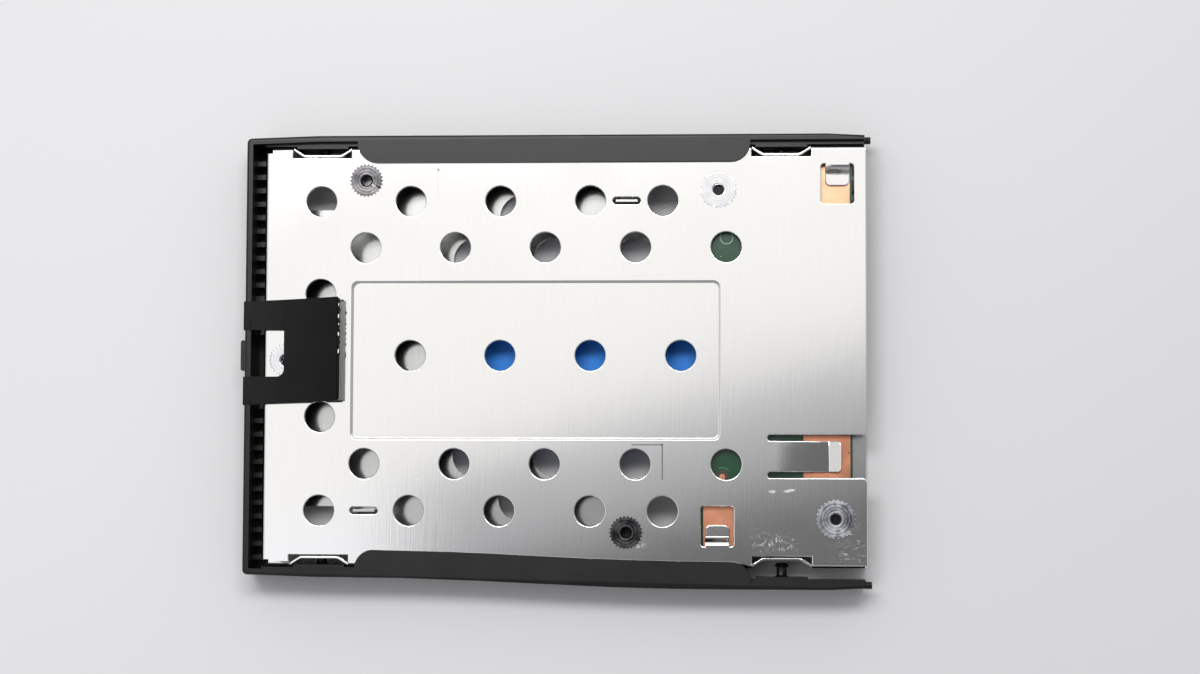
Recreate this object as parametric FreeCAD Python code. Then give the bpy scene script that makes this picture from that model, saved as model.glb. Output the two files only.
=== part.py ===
import FreeCAD, Part
import math
import os

# Empty 2.5-inch drive caddy for a small card-edge drive, lying with its vented tray up.
# Millimetres. +X is the connector end, +Y the back side, +Z up. While it is being built, the metal
# body's plan centre is the origin and its underside is z = 0. The finished solids are moved so that
# the origin is the bottom centre of the whole object.

# Card-edge drive that the caddy takes
card_length = 80.0
card_width = 22.0
card_thickness = 0.8
card_shoulder = 1.075
card_centre_y = -0.8

# Metal body: its length follows the drive, its height follows the stack
card_edge_to_front = 16.4
standoff_to_rear = 3.8
body_width = 69.85
cover_sheet = 0.4
bay_clearance = 0.6
socket_height = 3.2
board_thickness = 1.0
board_gap = 1.3
tray_sheet = 0.5

# Tray folds and corner reliefs
bend_inside = 0.3
relief_length = 1.2
relief_width = 1.0

# Pressed-in recesses for the bumper's pegs
front_peg_to_front = 14.0
rear_peg_to_rear = 9.6
peg_height = 3.0
recess_opening = 9.85
recess_flat = 6.1
recess_depth = 1.2
recess_bend = 1.2
recess_slit = 0.15
peg_hole = 2.0

# Vent field
vent_bore = 5.0
vent_pitch = 15.0
vent_columns = 4
vent_first_to_rear = 9.6
vent_edge = 9.2
vent_row_step = 7.75
vent_rear_pair = 10.2
vent_last_pull = 3.0
vent_margin = 1.0

# Slots that the cover's tongues stand in
slot_length = 4.6
slot_width = 1.15
tongue_width = 3.6
tongue_drop = 0.1
tongue_window = 4.4

# Pressed panel
panel_rear = 14.75
panel_length = 61.4
panel_side = 2.2
panel_depth = 0.4
panel_corner = 1.1
panel_draft = 0.3

# Corner marks scribed into the plate
mark_rear = 29.1
mark_front = 66.5
mark_edge = 3.6
mark_front_edge = 2.5
mark_panel = 0.75
mark_leg = 5.0
mark_width = 0.28
mark_depth = 0.06

# Lanced spring tabs and their windows
window_length = 6.6
window_width = 5.4
window_corner = 0.5
back_window_to_front = 4.73
back_window_edge = 3.2
front_window_to_front = 24.6
front_window_edge = 3.5
spring_width = 4.0
spring_reach = 3.5
spring_lead = 0.5
spring_slope = 1.0
spring_tip = 0.9

# Long spring leaf in its open notch
leaf_edge = 18.285
leaf_width = 5.14
leaf_slit = 0.96
leaf_root_to_front = 15.0
leaf_slit_lead = 1.3
leaf_length = 8.8
leaf_tip_length = 2.0
leaf_tip_rise = 0.9
leaf_tip_corner = 0.8
notch_corner = 0.8

# Press-in standoffs: toothed head diameter, barrel diameter
cover_head = 5.6
cover_barrel = 4.2
back_board_head = 6.2
front_board_head = 6.7
board_barrel = 4.4
drive_head = 5.6
drive_barrel = 4.0
tooth_count = 26
tooth_depth = 0.35
head_fit = 0.02
thread_bore = 1.6
mouth_bore = 2.1
mouth_depth = 0.3
cover_standoff_edge = 5.7
back_board_to_front = 24.4
back_board_edge = 7.4
front_board_to_front = 5.15
front_board_edge = 8.0
card_drop = 1.3

# Screws
thread_fit = 0.02
cover_screw_head = 4.2
cover_screw_thick = 0.4
board_screw_head = 3.6
board_screw_thick = 0.8
board_screw_hole = 2.2
cover_screw_hole = 2.1
cover_screw_gap = 2.4
board_screw_gap = 0.9
drive_cross = 0.35
drive_cross_span = 1.8
drive_cross_depth = 0.25

# Cover
cover_fit = 0.1
cover_flange = 2.0
corner_cut_length = 12.9
corner_cut_width = 9.9
corner_cut_round = 1.0
recess_clearance = 0.25
cover_vent_bore = 7.6
cover_vent_pitch = 13.55
cover_vent_columns = 3
cover_vent_first = 34.9
cover_vent_inner = 16.4
cover_vent_outer = 23.7
cover_vent_outer_x = 42.7
cover_vent_end_x = 66.4
cover_vent_end = 25.8
dimple_floor = 4.8
dimple_mouth = 5.8
dimple_depth = 0.5

# Adapter board
board_to_front = 2.3
board_length = 27.1
board_side = 2.6
board_corner = 0.8
bay_notch_depth = 3.0
bay_notch_side = 1.5
land_thickness = 0.08
land_border = 0.4
land_leaf_length = 7.7
land_leaf_width = 9.6

# Card-edge socket
socket_length = 8.0
socket_grip = 4.1
socket_slot_fit = 0.05
socket_wall = 1.0
socket_jaw_cut = 1.5
socket_key_side = 6.1
socket_key = 1.2
contact_pitch = 0.5
contact_width = 0.25
contact_thickness = 0.15
contact_tail = 0.8
contact_count = 37

# Host plug
plug_edge = 5.425
plug_width = 40.0
plug_to_front = 0.3
plug_length = 8.8
plug_block = 3.5
plug_floor = 1.0
plug_arm = 1.8
plug_arm_round = 0.6
tongue_plate = 1.2
tongue_rise = 1.0
tongue_back = 0.5
signal_tongue = 10.4
power_tongue = 20.6
tongue_gap = 2.4
tongue_key = 1.2
plug_pitch = 1.27
plug_contact = 0.85
plug_contact_thick = 0.1
plug_contact_length = 4.0
signal_count = 7
power_count = 15

# Supply parts on the board's underside: length, width, height
chip_size = (4.0, 4.0, 0.9)
inductor_size = (4.4, 4.0, 1.6)
capacitor_size = (0.8, 1.6, 0.8)
capacitor_count = 4
supply_edge = 16.425
supply_chip_x = 8.6
supply_coil_x = 14.0
capacitor_first = 2.6
capacitor_step = 2.4

# Thermal pad and its liner
pad_length = 40.0
pad_width = 20.0
pad_thickness = 0.5
pad_rear = 33.6
pad_corner = 0.5
liner_thickness = 0.1
liner_border = 0.3

# Bumper
flange_thickness = 0.7
flange_fit = 0.05
flange_overlap = 2.75
flange_corner = 3.2
flange_rear_gap = 1.15
flange_front_gap = 0.2
rail_gap = 0.15
rail_wall = 1.67
rail_lip = 1.0
rail_step = 1.2
rail_end = 0.3
rail_taper = 0.3
rail_taper_length = 6.0
corner_pinch = 0.4
corner_pinch_length = 12.0
corner_ease = 60.0
corner_round = 0.8
edge_round = 0.45
end_channel = 1.95
end_wall = 1.05
end_ledge = 1.6
rib_pitch = 2.28
rib_width = 0.8
rib_top = 3.6
rib_gap = 0.1
rib_margin = 1.4
nub_width = 5.1
nub_reach = 0.85
nub_bottom = 1.6
nub_top = 6.6
nub_round = 0.4
tip_bore = 1.2
tip_edge = 0.72
tip_length = 1.15
peg_base = 2.9
peg_neck = 1.65
peg_head = 2.4
peg_head_length = 0.75
peg_flare = 0.8
peg_head_lead = 0.26
peg_head_gap = 0.1
peg_pad_length = 8.6
peg_pad = 0.4
front_splay = 1.75
splay_lead = 1.8
splay_end_lead = 1.9

# Pull tab film
film = 0.15
film_fit = 0.05
film_fold = 0.12
tab_back = 8.93
tab_front = -8.3
tab_skew = 0.65
tab_window_back = 4.18
tab_window_front = -3.58
tab_window_end = 6.7
tab_window_corner = 1.2
tab_tail = 15.9
tab_lift = 2.3
tab_slot_gap = 0.3
tab_floor_gap = 0.2

# Worked out from the sizes above
body_length = card_edge_to_front + card_length + standoff_to_rear
body_height = cover_sheet + bay_clearance + socket_height + board_thickness + board_gap + tray_sheet
front = body_length / 2
rear = -body_length / 2
side = body_width / 2
bend_outside = bend_inside + tray_sheet
plate_top = body_height
plate_under = body_height - tray_sheet
board_top = plate_under - board_gap
board_under = board_top - board_thickness
card_edge = front - card_edge_to_front
card_top = board_under - card_drop
front_peg = front - front_peg_to_front
rear_peg = rear + rear_peg_to_rear
peg_places = (rear_peg, front_peg)
recess_half = recess_opening / 2
plate_cut = recess_depth + tray_sheet + recess_slit

vent_first = rear + vent_first_to_rear
vent_outer = side - vent_edge
vent_inner = vent_outer - vent_row_step
vent_last = vent_first + vent_columns * vent_pitch - vent_last_pull
rear_fastener = vent_first + vent_pitch / 2
front_fastener = (vent_first + (vent_columns - 1) * vent_pitch + vent_last) / 2
panel_half = card_width / 2 + panel_side
panel_start = rear + panel_rear
panel_end = panel_start + panel_length

back_window = front - back_window_to_front
front_window = front - front_window_to_front
leaf_root = front - leaf_root_to_front
leaf_side = -side + leaf_edge
leaf_notch = leaf_width / 2 + leaf_slit

cover_seat_side = side - cover_standoff_edge
back_board_x = front - back_board_to_front
back_board_y = side - back_board_edge
front_board_x = front - front_board_to_front
front_board_y = -side + front_board_edge
standoffs = {
    "cover_standoff_back": (rear_fastener, cover_seat_side, cover_head, cover_barrel),
    "cover_standoff_front": (front_fastener, -cover_seat_side, cover_head, cover_barrel),
    "board_standoff_back": (back_board_x, back_board_y, back_board_head, board_barrel),
    "board_standoff_front": (front_board_x, front_board_y, front_board_head, board_barrel),
    "drive_standoff": (rear + standoff_to_rear, card_centre_y, drive_head, drive_barrel),
}
cover_seats = ("cover_standoff_back", "cover_standoff_front")
board_seats = ("board_standoff_back", "board_standoff_front")

board_front = front - board_to_front
board_rear = board_front - board_length
board_half = side - board_side
supply_row = side - supply_edge
socket_rear = card_edge - socket_grip
socket_front = socket_rear + socket_length
socket_slot_half = card_width / 2 - card_shoulder + socket_slot_fit
socket_half = socket_slot_half + socket_wall
plug_front = front - plug_to_front
plug_rear = plug_front - plug_length
plug_side = side - plug_edge - plug_width / 2

flange_start = rear_peg + recess_half + flange_rear_gap
flange_end = front_peg - recess_half - flange_front_gap
bumper_bottom = -flange_fit - flange_thickness
bumper_top = plate_top + flange_fit + flange_thickness
rail_inner = side + rail_gap
rail_outer = rail_inner + rail_wall
lip_inner = rail_outer - rail_lip
rail_front = front - rail_end
end_inner = rear - end_channel
end_outer = end_inner - end_wall
splay_start = rear_peg + splay_lead
splay_end = flange_end - splay_end_lead
splay_turn = 2 * math.atan(front_splay / (splay_end - splay_start))
splay_setback = (splay_end - splay_start) / 2 / (1 + math.cos(splay_turn))
splay_radius = splay_setback / math.tan(splay_turn / 2)
film_floor = bumper_bottom + tab_floor_gap

V = FreeCAD.Vector
far = 200.0
sliver = 0.01
round_sides = 24


def in_plan(a, b):
    return V(a, b, 0)


def in_side(a, b):
    return V(a, 0, b)


def in_end(a, b):
    return V(0, a, b)


def box(x0, x1, y0, y1, z0, z1):
    return Part.makeBox(x1 - x0, y1 - y0, z1 - z0, V(x0, y0, z0))


def disc(x, y, z0, z1, diameter):
    return Part.makeCylinder(diameter / 2, z1 - z0, V(x, y, z0))


def many_sided(a, b, radius):
    # Corners of the polygon that stands for a round outline on small or repeated features.
    turns = [2 * math.pi * i / round_sides for i in range(round_sides)]
    return [(a + radius * math.cos(t), b + radius * math.sin(t)) for t in turns]


def hole_outline(a, b, diameter):
    # The polygon's flats touch the circle, so what fits the circle clears them.
    return many_sided(a, b, diameter / 2 / math.cos(math.pi / round_sides))


def outline(points, place=in_plan):
    # Closed wire through (a, b) or (a, b, radius) points, each with its own corner radius.
    count = len(points)
    starts = []
    ends = []
    arcs = []
    for i, point in enumerate(points):
        here = V(point[0], point[1], 0)
        radius = point[2] if len(point) > 2 else 0
        if not radius:
            starts.append(here)
            ends.append(here)
            arcs.append(None)
            continue
        before = points[i - 1]
        after = points[(i + 1) % count]
        u = (V(before[0], before[1], 0) - here).normalize()
        w = (V(after[0], after[1], 0) - here).normalize()
        half = u.getAngle(w) / 2
        setback = radius / math.tan(half)
        middle = (u + w).normalize()
        starts.append(here + u * setback)
        ends.append(here + w * setback)
        arcs.append(here + middle * (radius / math.sin(half) - radius))
    edges = []
    for i in range(count):
        if arcs[i]:
            arc = Part.Arc(*(place(p.x, p.y) for p in (starts[i], arcs[i], ends[i])))
            edges.append(arc.toShape())
        a = ends[i]
        b = starts[(i + 1) % count]
        if (b - a).Length > 1e-6:
            edges.append(Part.makeLine(place(a.x, a.y), place(b.x, b.y)))
    return Part.Wire(edges)


def prism(points, z0, z1):
    face = Part.Face(outline(points))
    face.translate(V(0, 0, z0))
    return face.extrude(V(0, 0, z1 - z0))


def hole(x, y, z0, z1, diameter):
    return prism(hole_outline(x, y, diameter), z0, z1)


def post(x, y, z0, z1, diameter):
    return prism(many_sided(x, y, diameter / 2), z0, z1)


def side_profile(points, y0, y1):
    face = Part.Face(outline(points, in_side))
    face.translate(V(0, y0, 0))
    return face.extrude(V(0, y1 - y0, 0))


def end_profile(points, x0, x1):
    face = Part.Face(outline(points, in_end))
    face.translate(V(x0, 0, 0))
    return face.extrude(V(x1 - x0, 0, 0))


def rectangle(x0, x1, y0, y1, radius=0):
    return [(x0, y0, radius), (x1, y0, radius), (x1, y1, radius), (x0, y1, radius)]


def mirrored(points):
    return [(p[0], -p[1]) + tuple(p[2:]) for p in points]


def round_slot(x0, x1, y, width):
    # Outline of a slot along X with round ends.
    return rectangle(x0, x1, y - width / 2, y + width / 2, width / 2 - sliver)


def outer_corner(x, y, to_x, to_y, radius):
    # What a convex plan corner at (x, y) loses when it is rounded; the sheet lies towards to_x, to_y.
    cx = x + to_x * radius
    cy = y + to_y * radius
    block = box(min(x, cx), max(x, cx), min(y, cy), max(y, cy), -sliver, plate_top + sliver)
    return block.cut(disc(cx, cy, -far, far, 2 * radius))


def one(shape):
    return shape.removeSplitter()


def through_plate(points):
    return prism(points, plate_under - sliver, plate_top + sliver)


def vent_places():
    places = []
    for sign in (1, -1):
        for i in range(vent_columns):
            places.append((vent_first + i * vent_pitch, sign * vent_outer))
        places.append((vent_last, sign * vent_outer))
        places.append((vent_first, sign * vent_rear_pair))
        x = vent_first + vent_pitch / 2
        while x + vent_bore / 2 + vent_margin < leaf_root - leaf_slit_lead:
            places.append((x, sign * vent_inner))
            x += vent_pitch
    x = vent_first + vent_pitch
    while x + vent_bore / 2 + vent_margin < panel_end:
        places.append((x, 0))
        x += vent_pitch
    return places


def recess_strip(x, sign):
    # Side sheet pressed inwards in a flat-bottomed trapezoid, open at its upper edge.
    run = recess_half - recess_flat / 2
    shift = tray_sheet * math.tan(math.atan2(recess_depth, run) / 2)
    inner_ends = side - tray_sheet - shift * recess_depth / run
    flat_half = recess_flat / 2
    floor = side - recess_depth
    points = [
        (x - recess_half, side),
        (x - flat_half, floor, recess_bend),
        (x + flat_half, floor, recess_bend),
        (x + recess_half, side),
        (x + recess_half, inner_ends),
        (x + flat_half + shift, floor - tray_sheet, recess_bend + tray_sheet),
        (x - flat_half - shift, floor - tray_sheet, recess_bend + tray_sheet),
        (x - recess_half, inner_ends),
    ]
    strip = prism(points if sign > 0 else mirrored(points), 0, plate_top - bend_outside)
    return strip.cut(side_profile(hole_outline(x, peg_height, peg_hole), -far, far))


def spring_tab(x, root, inward):
    # Z-bent tab from a window's edge at y = root down onto its copper land.
    drop = board_gap - land_thickness
    shift = tray_sheet * math.tan(math.atan2(drop, spring_slope) / 2)
    low = plate_top - drop
    tight = bend_inside
    wide = bend_inside + tray_sheet
    knee = spring_lead + spring_slope
    shape = [
        (0, plate_top),
        (spring_lead, plate_top, wide),
        (knee, low, tight),
        (spring_reach, low),
        (spring_reach, low - tray_sheet),
        (knee - shift, low - tray_sheet, wide),
        (spring_lead - shift, plate_under, tight),
        (0, plate_under),
    ]
    points = [(root + inward * p[0],) + tuple(p[1:]) for p in shape]
    half = spring_width / 2
    tip = root + inward * spring_reach
    plan = [(x - half, root), (x + half, root), (x + half, tip, spring_tip), (x - half, tip, spring_tip)]
    return end_profile(points, x - half, x + half).common(prism(plan, 0, plate_top))


def spring_leaf():
    # Long finger that slopes down onto its land and turns up at the tip.
    drop = board_gap - land_thickness
    bend = leaf_root + leaf_length
    tip = bend + leaf_tip_length
    low = plate_top - drop
    high = low + leaf_tip_rise
    points = [
        (leaf_root, plate_top),
        (bend, low, bend_inside),
        (tip, high),
        (tip, high - tray_sheet),
        (bend, low - tray_sheet, bend_outside),
        (leaf_root, plate_under),
    ]
    y0 = leaf_side - leaf_width / 2
    y1 = leaf_side + leaf_width / 2
    plan = [(leaf_root, y0), (tip, y0, leaf_tip_corner), (tip, y1, leaf_tip_corner), (leaf_root, y1)]
    return side_profile(points, y0, y1).common(prism(plan, 0, plate_top))


def leaf_opening():
    sides = (leaf_side - leaf_notch, leaf_side + leaf_notch)
    opening = through_plate(rectangle(leaf_root, front + sliver, *sides))
    x0 = leaf_root - leaf_slit_lead
    x1 = leaf_root + leaf_slit_lead
    for sign in (1, -1):
        y = leaf_side + sign * (leaf_width + leaf_slit) / 2
        opening = opening.fuse(through_plate(round_slot(x0, x1, y, leaf_slit)))
        opening = opening.fuse(outer_corner(front, leaf_side + sign * leaf_notch, -1, sign, notch_corner))
    return opening


def panel_form(z_wide, z_narrow):
    wires = []
    for z, inset in ((z_wide, 0), (z_narrow, panel_draft)):
        x0 = panel_start + inset
        x1 = panel_end - inset
        y0 = card_centre_y - panel_half + inset
        y1 = card_centre_y + panel_half - inset
        wire = outline(rectangle(x0, x1, y0, y1, panel_corner))
        wire.translate(V(0, 0, z))
        wires.append(wire)
    return Part.makeLoft(wires, True, True)


def corner_marks():
    # Shallow scribed lines: three L corners and one single leg.
    panel_back = card_centre_y + panel_half + mark_panel
    panel_front = card_centre_y - panel_half - mark_panel
    rear_line = rear + mark_rear
    front_line = rear + mark_front
    legs = [
        (rear_line, side - mark_edge, mark_leg, 0),
        (rear_line, side - mark_edge, 0, -mark_leg),
        (front_line, panel_back, -mark_leg, 0),
        (front_line, panel_back, 0, mark_leg),
        (front_line, panel_front, -mark_leg, 0),
        (front_line, panel_front, 0, -mark_leg),
        (rear_line, -side + mark_front_edge, 0, mark_leg),
    ]
    half = mark_width / 2
    grooves = []
    for x, y, dx, dy in legs:
        x0, x1 = sorted((x, x + dx))
        y0, y1 = sorted((y, y + dy))
        grooves.append(prism(rectangle(x0 - half, x1 + half, y0 - half, y1 + half),
                             plate_top - mark_depth, plate_top + sliver))
    return grooves


def vented_tray():
    channel = [
        (-side, 0),
        (-side, plate_top, bend_outside),
        (side, plate_top, bend_outside),
        (side, 0),
        (side - tray_sheet, 0),
        (side - tray_sheet, plate_under, bend_inside),
        (-side + tray_sheet, plate_under, bend_inside),
        (-side + tray_sheet, 0),
    ]
    tray = end_profile(channel, rear + relief_length, front)
    end = [
        (rear, 0),
        (rear, plate_top, bend_outside),
        (rear + relief_length, plate_top),
        (rear + relief_length, plate_under),
        (rear + tray_sheet, plate_under, bend_inside),
        (rear + tray_sheet, 0),
    ]
    tray = tray.fuse(side_profile(end, -side + relief_width, side - relief_width))
    for x in peg_places:
        for y0, y1 in ((side - plate_cut, side + sliver), (-side - sliver, -side + plate_cut)):
            tray = tray.cut(box(x - recess_half, x + recess_half, y0, y1, -sliver, plate_top + sliver))
    tray = tray.fuse([recess_strip(x, sign) for x in peg_places for sign in (1, -1)])
    tray = tray.fuse(panel_form(plate_under, plate_under - panel_depth))
    tray = tray.cut(panel_form(plate_top + sliver, plate_top - panel_depth))
    low = plate_under - panel_depth - sliver
    openings = [hole(x, y, low, plate_top + sliver, vent_bore) for x, y in vent_places()]
    for x, y in ((front_fastener, vent_outer), (rear_fastener, -vent_outer)):
        half = slot_length / 2
        openings.append(through_plate(round_slot(x - half, x + half, y, slot_width)))
    back_edge = side - back_window_edge
    front_edge = -side + front_window_edge
    half = window_width / 2
    for x, y0, y1 in ((back_window, back_edge - window_length, back_edge),
                      (front_window, front_edge, front_edge + window_length)):
        openings.append(through_plate(rectangle(x - half, x + half, y0, y1, window_corner)))
    for x, y, head, barrel in standoffs.values():
        openings.append(through_plate(toothed_outline(x, y, head + 2 * head_fit)))
    tray = tray.cut(openings + corner_marks() + [leaf_opening()])
    springs = [spring_tab(back_window, back_edge, -1), spring_tab(front_window, front_edge, 1), spring_leaf()]
    return one(tray.fuse(springs))


def cover_outline():
    half = side - tray_sheet - cover_fit
    start = rear + tray_sheet + cover_fit
    inner = side - corner_cut_width
    cut = start + corner_cut_length
    clear = side - recess_depth - tray_sheet - recess_clearance
    rear_notch = rear_peg + recess_half + recess_clearance
    notch_start = front_peg - recess_half - recess_clearance
    notch_end = front_peg + recess_half + recess_clearance
    back = [
        (start, inner),
        (cut, inner, corner_cut_round),
        (cut, clear),
        (rear_notch, clear),
        (rear_notch, half),
        (notch_start, half),
        (notch_start, clear),
        (notch_end, clear),
        (notch_end, half),
        (front, half),
    ]
    return back + mirrored(back)[::-1]


def cover_vents():
    places = []
    for sign in (1, -1):
        for i in range(cover_vent_columns):
            places.append((rear + cover_vent_first + i * cover_vent_pitch, sign * cover_vent_inner))
        places.append((rear + cover_vent_outer_x, sign * cover_vent_outer))
        places.append((rear + cover_vent_end_x, sign * cover_vent_end))
    return places


def dimple(x, y):
    # Pressed cup that lets a screw head lie flush under the cover.
    top = cover_sheet + dimple_depth
    outside = Part.makeCone(dimple_mouth / 2 + cover_sheet, dimple_floor / 2 + cover_sheet, top, V(x, y, 0))
    inside = Part.makeCone(dimple_mouth / 2, dimple_floor / 2, dimple_depth, V(x, y, 0))
    return outside, inside


def bottom_cover():
    cover = prism(cover_outline(), 0, cover_sheet)
    outer = side - tray_sheet - cover_fit
    inner = outer - cover_sheet
    spans = ((rear_peg + recess_half + recess_clearance, front_peg - recess_half - recess_clearance),
             (front_peg + recess_half + recess_clearance, front))
    for x0, x1 in spans:
        for y0, y1 in ((inner, outer), (-outer, -inner)):
            cover = cover.fuse(box(x0, x1, y0, y1, 0, cover_flange))
    cover = cover.cut([hole(x, y, -sliver, cover_sheet + sliver, cover_vent_bore) for x, y in cover_vents()])
    for name in cover_seats:
        x, y = standoffs[name][:2]
        outside, inside = dimple(x, y)
        bore = hole(x, y, -sliver, body_height, cover_screw_hole)
        cover = cover.fuse(outside).cut(inside).cut(bore)
    for x, sign in ((front_fastener, 1), (rear_fastener, -1)):
        y = sign * vent_outer
        tall = plate_top - tongue_drop
        half = tongue_width / 2
        window_half = tongue_window / 2
        y0, y1 = sorted((y + sign * cover_sheet / 2, y + sign * (tall - cover_sheet)))
        cover = cover.cut(box(x - window_half, x + window_half, y0, y1, -sliver, cover_sheet + sliver))
        cover = cover.fuse(box(x - half, x + half, y - cover_sheet / 2, y + cover_sheet / 2, 0, tall))
    return one(cover)


def toothed_outline(x, y, diameter):
    points = []
    for i in range(2 * tooth_count):
        angle = math.pi * i / tooth_count
        radius = diameter / 2 - (tooth_depth if i % 2 else 0)
        points.append((x + radius * math.cos(angle), y + radius * math.sin(angle)))
    return points


def standoff(x, y, head, barrel, end):
    body = prism(toothed_outline(x, y, head), plate_under, plate_top)
    body = body.fuse(post(x, y, end, plate_under, barrel))
    body = body.cut(disc(x, y, end - sliver, plate_top + sliver, thread_bore))
    mouth = Part.makeCone(thread_bore / 2, mouth_bore / 2, mouth_depth, V(x, y, plate_top - mouth_depth))
    return one(body.cut(mouth))


def screw(x, y, head, thick, seat, end):
    # Screw driven upwards: its head lies under z = seat, its thread ends at z = end.
    body = post(x, y, seat - thick, seat, head).fuse(post(x, y, seat, end, thread_bore - 2 * thread_fit))
    half = drive_cross / 2
    span = drive_cross_span / 2
    low = seat - thick
    cross = box(x - span, x + span, y - half, y + half, low - sliver, low + drive_cross_depth)
    cross = cross.fuse(box(x - half, x + half, y - span, y + span, low - sliver, low + drive_cross_depth))
    return one(body.cut(cross))


def adapter_board():
    # Its rear edge is cut back where the drive lies.
    notch_half = card_width / 2 + bay_notch_side
    y0 = card_centre_y - notch_half
    y1 = card_centre_y + notch_half
    inner = board_rear + bay_notch_depth
    plan = [
        (board_front, -board_half, board_corner),
        (board_front, board_half, board_corner),
        (board_rear, board_half, board_corner),
        (board_rear, y1, board_corner),
        (inner, y1, board_corner),
        (inner, y0, board_corner),
        (board_rear, y0, board_corner),
        (board_rear, -board_half, board_corner),
    ]
    board = prism(plan, board_under, board_top)
    holes = []
    for name in board_seats:
        x, y = standoffs[name][:2]
        holes.append(hole(x, y, board_under - sliver, board_top + sliver, board_screw_hole))
    return board.cut(holes)


def ground_lands():
    # Bare copper under each spring, clear of the board's edges.
    half = window_width / 2
    back_edge = side - back_window_edge
    front_edge = -side + front_window_edge
    x_limit = board_front - land_border
    y_limit = board_half - land_border
    half_leaf = land_leaf_width / 2
    top = board_top + land_thickness
    back = (back_window - half, min(back_window + half, x_limit),
            back_edge - window_length - land_border, min(back_edge, y_limit))
    front_land = (front_window - half + land_border, front_window + half + land_border,
                  max(front_edge, -y_limit), front_edge + window_length + land_border)
    beside = (x_limit - land_leaf_length, x_limit, leaf_side - half_leaf, leaf_side + half_leaf)
    return {
        "ground_land_back": box(*back, board_top, top),
        "ground_land_front": box(*front_land, board_top, top),
        "ground_land_side": box(*beside, board_top, top),
    }


def drive_socket():
    low = board_under - socket_height
    y = card_centre_y
    slot_low = card_top - card_thickness - socket_slot_fit
    slot_high = card_top + socket_slot_fit
    slot_end = card_edge + socket_slot_fit
    jaw_end = socket_rear + socket_jaw_cut
    key_low = y + socket_key_side - socket_key / 2
    housing = box(socket_rear, socket_front, y - socket_half, y + socket_half, low, board_under)
    slot_sides = (y - socket_slot_half, y + socket_slot_half)
    slot = box(socket_rear - sliver, slot_end, *slot_sides, slot_low, slot_high)
    key = box(jaw_end, slot_end, key_low, key_low + socket_key, slot_low, slot_high)
    jaw = box(socket_rear - sliver, jaw_end, *slot_sides, low - sliver, slot_high)
    return one(housing.cut(slot.cut(key)).cut(jaw))


def socket_contacts(x0):
    tails = []
    key_y = card_centre_y + socket_key_side
    for i in range(contact_count):
        y = card_centre_y + (i - (contact_count - 1) / 2) * contact_pitch
        if abs(y - key_y) < socket_key:
            continue
        tails.append(box(x0, x0 + contact_tail, y - contact_width / 2, y + contact_width / 2,
                         board_under - contact_thickness, board_under))
    return Part.Compound(tails)


def plug_tongues():
    # First and last y of the signal tongue, then of the power tongue.
    total = signal_tongue + tongue_gap + power_tongue
    first = plug_side + total / 2
    signal = (first - signal_tongue, first)
    power = (first - total, first - total + power_tongue)
    return signal, power


def host_plug():
    low = cover_sheet + plug_floor
    half = plug_width / 2
    block_front = plug_rear + plug_block
    plug = box(plug_rear, block_front, plug_side - half, plug_side + half, low, board_under)
    for y0 in (plug_side - half, plug_side + half - plug_arm):
        arm = [
            (block_front, low),
            (plug_front, low, plug_arm_round),
            (plug_front, board_under),
            (block_front, board_under),
        ]
        plug = plug.fuse(side_profile(arm, y0, y0 + plug_arm))
    tongue_low = low + tongue_rise
    tongue_front = plug_front - tongue_back
    for y0, y1 in plug_tongues():
        plug = plug.fuse(box(block_front, tongue_front, y0, y1, tongue_low, tongue_low + tongue_plate))
        plug = plug.fuse(box(block_front, tongue_front, y0, y0 + tongue_key, low, tongue_low))
    return one(plug)


def plug_contacts(span, count):
    middle = (span[0] + span[1]) / 2
    x0 = plug_rear + plug_block
    z0 = cover_sheet + plug_floor + tongue_rise + tongue_plate
    strips = []
    for i in range(count):
        y = middle + (i - (count - 1) / 2) * plug_pitch
        strips.append(box(x0, x0 + plug_contact_length, y - plug_contact / 2, y + plug_contact / 2,
                          z0, z0 + plug_contact_thick))
    return Part.Compound(strips)


def under_board(x, y, size):
    length, width, height = size
    half = length / 2
    return box(x - half, x + half, y - width / 2, y + width / 2, board_under - height, board_under)


def supply_parts():
    row = -supply_row
    parts = {
        "regulator_chip": under_board(board_rear + supply_chip_x, row, chip_size),
        "power_inductor": under_board(board_rear + supply_coil_x, row, inductor_size),
    }
    for i in range(capacitor_count):
        x = board_rear + supply_chip_x + (i - 0.5) * capacitor_step
        y = row - chip_size[1] / 2 - capacitor_first
        parts["board_capacitor_%d" % (i + 1)] = under_board(x, y, capacitor_size)
    return parts


def pad_and_liner():
    def sheet(border, z0, z1):
        x0 = rear + pad_rear - border
        x1 = rear + pad_rear + pad_length + border
        half = pad_width / 2 + border
        return prism(rectangle(x0, x1, card_centre_y - half, card_centre_y + half, pad_corner), z0, z1)

    top = cover_sheet + pad_thickness
    return sheet(0, cover_sheet, top), sheet(liner_border, top, top + liner_thickness)


def splay_bends(offset):
    # The two bends of the front rail's edge at y = -offset: equal arcs that meet half way.
    return [
        (splay_start + splay_setback, -offset, splay_radius),
        (splay_end - splay_setback, -offset - front_splay, splay_radius),
    ]


def splay_at(x):
    # How far the front arm stands off its seat at x.
    middle = (splay_start + splay_end) / 2
    if x <= splay_start:
        return 0.0
    if x >= splay_end:
        return front_splay
    if x <= middle:
        return splay_radius - math.sqrt(splay_radius ** 2 - (x - splay_start) ** 2)
    return front_splay - splay_radius + math.sqrt(splay_radius ** 2 - (splay_end - x) ** 2)


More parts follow.
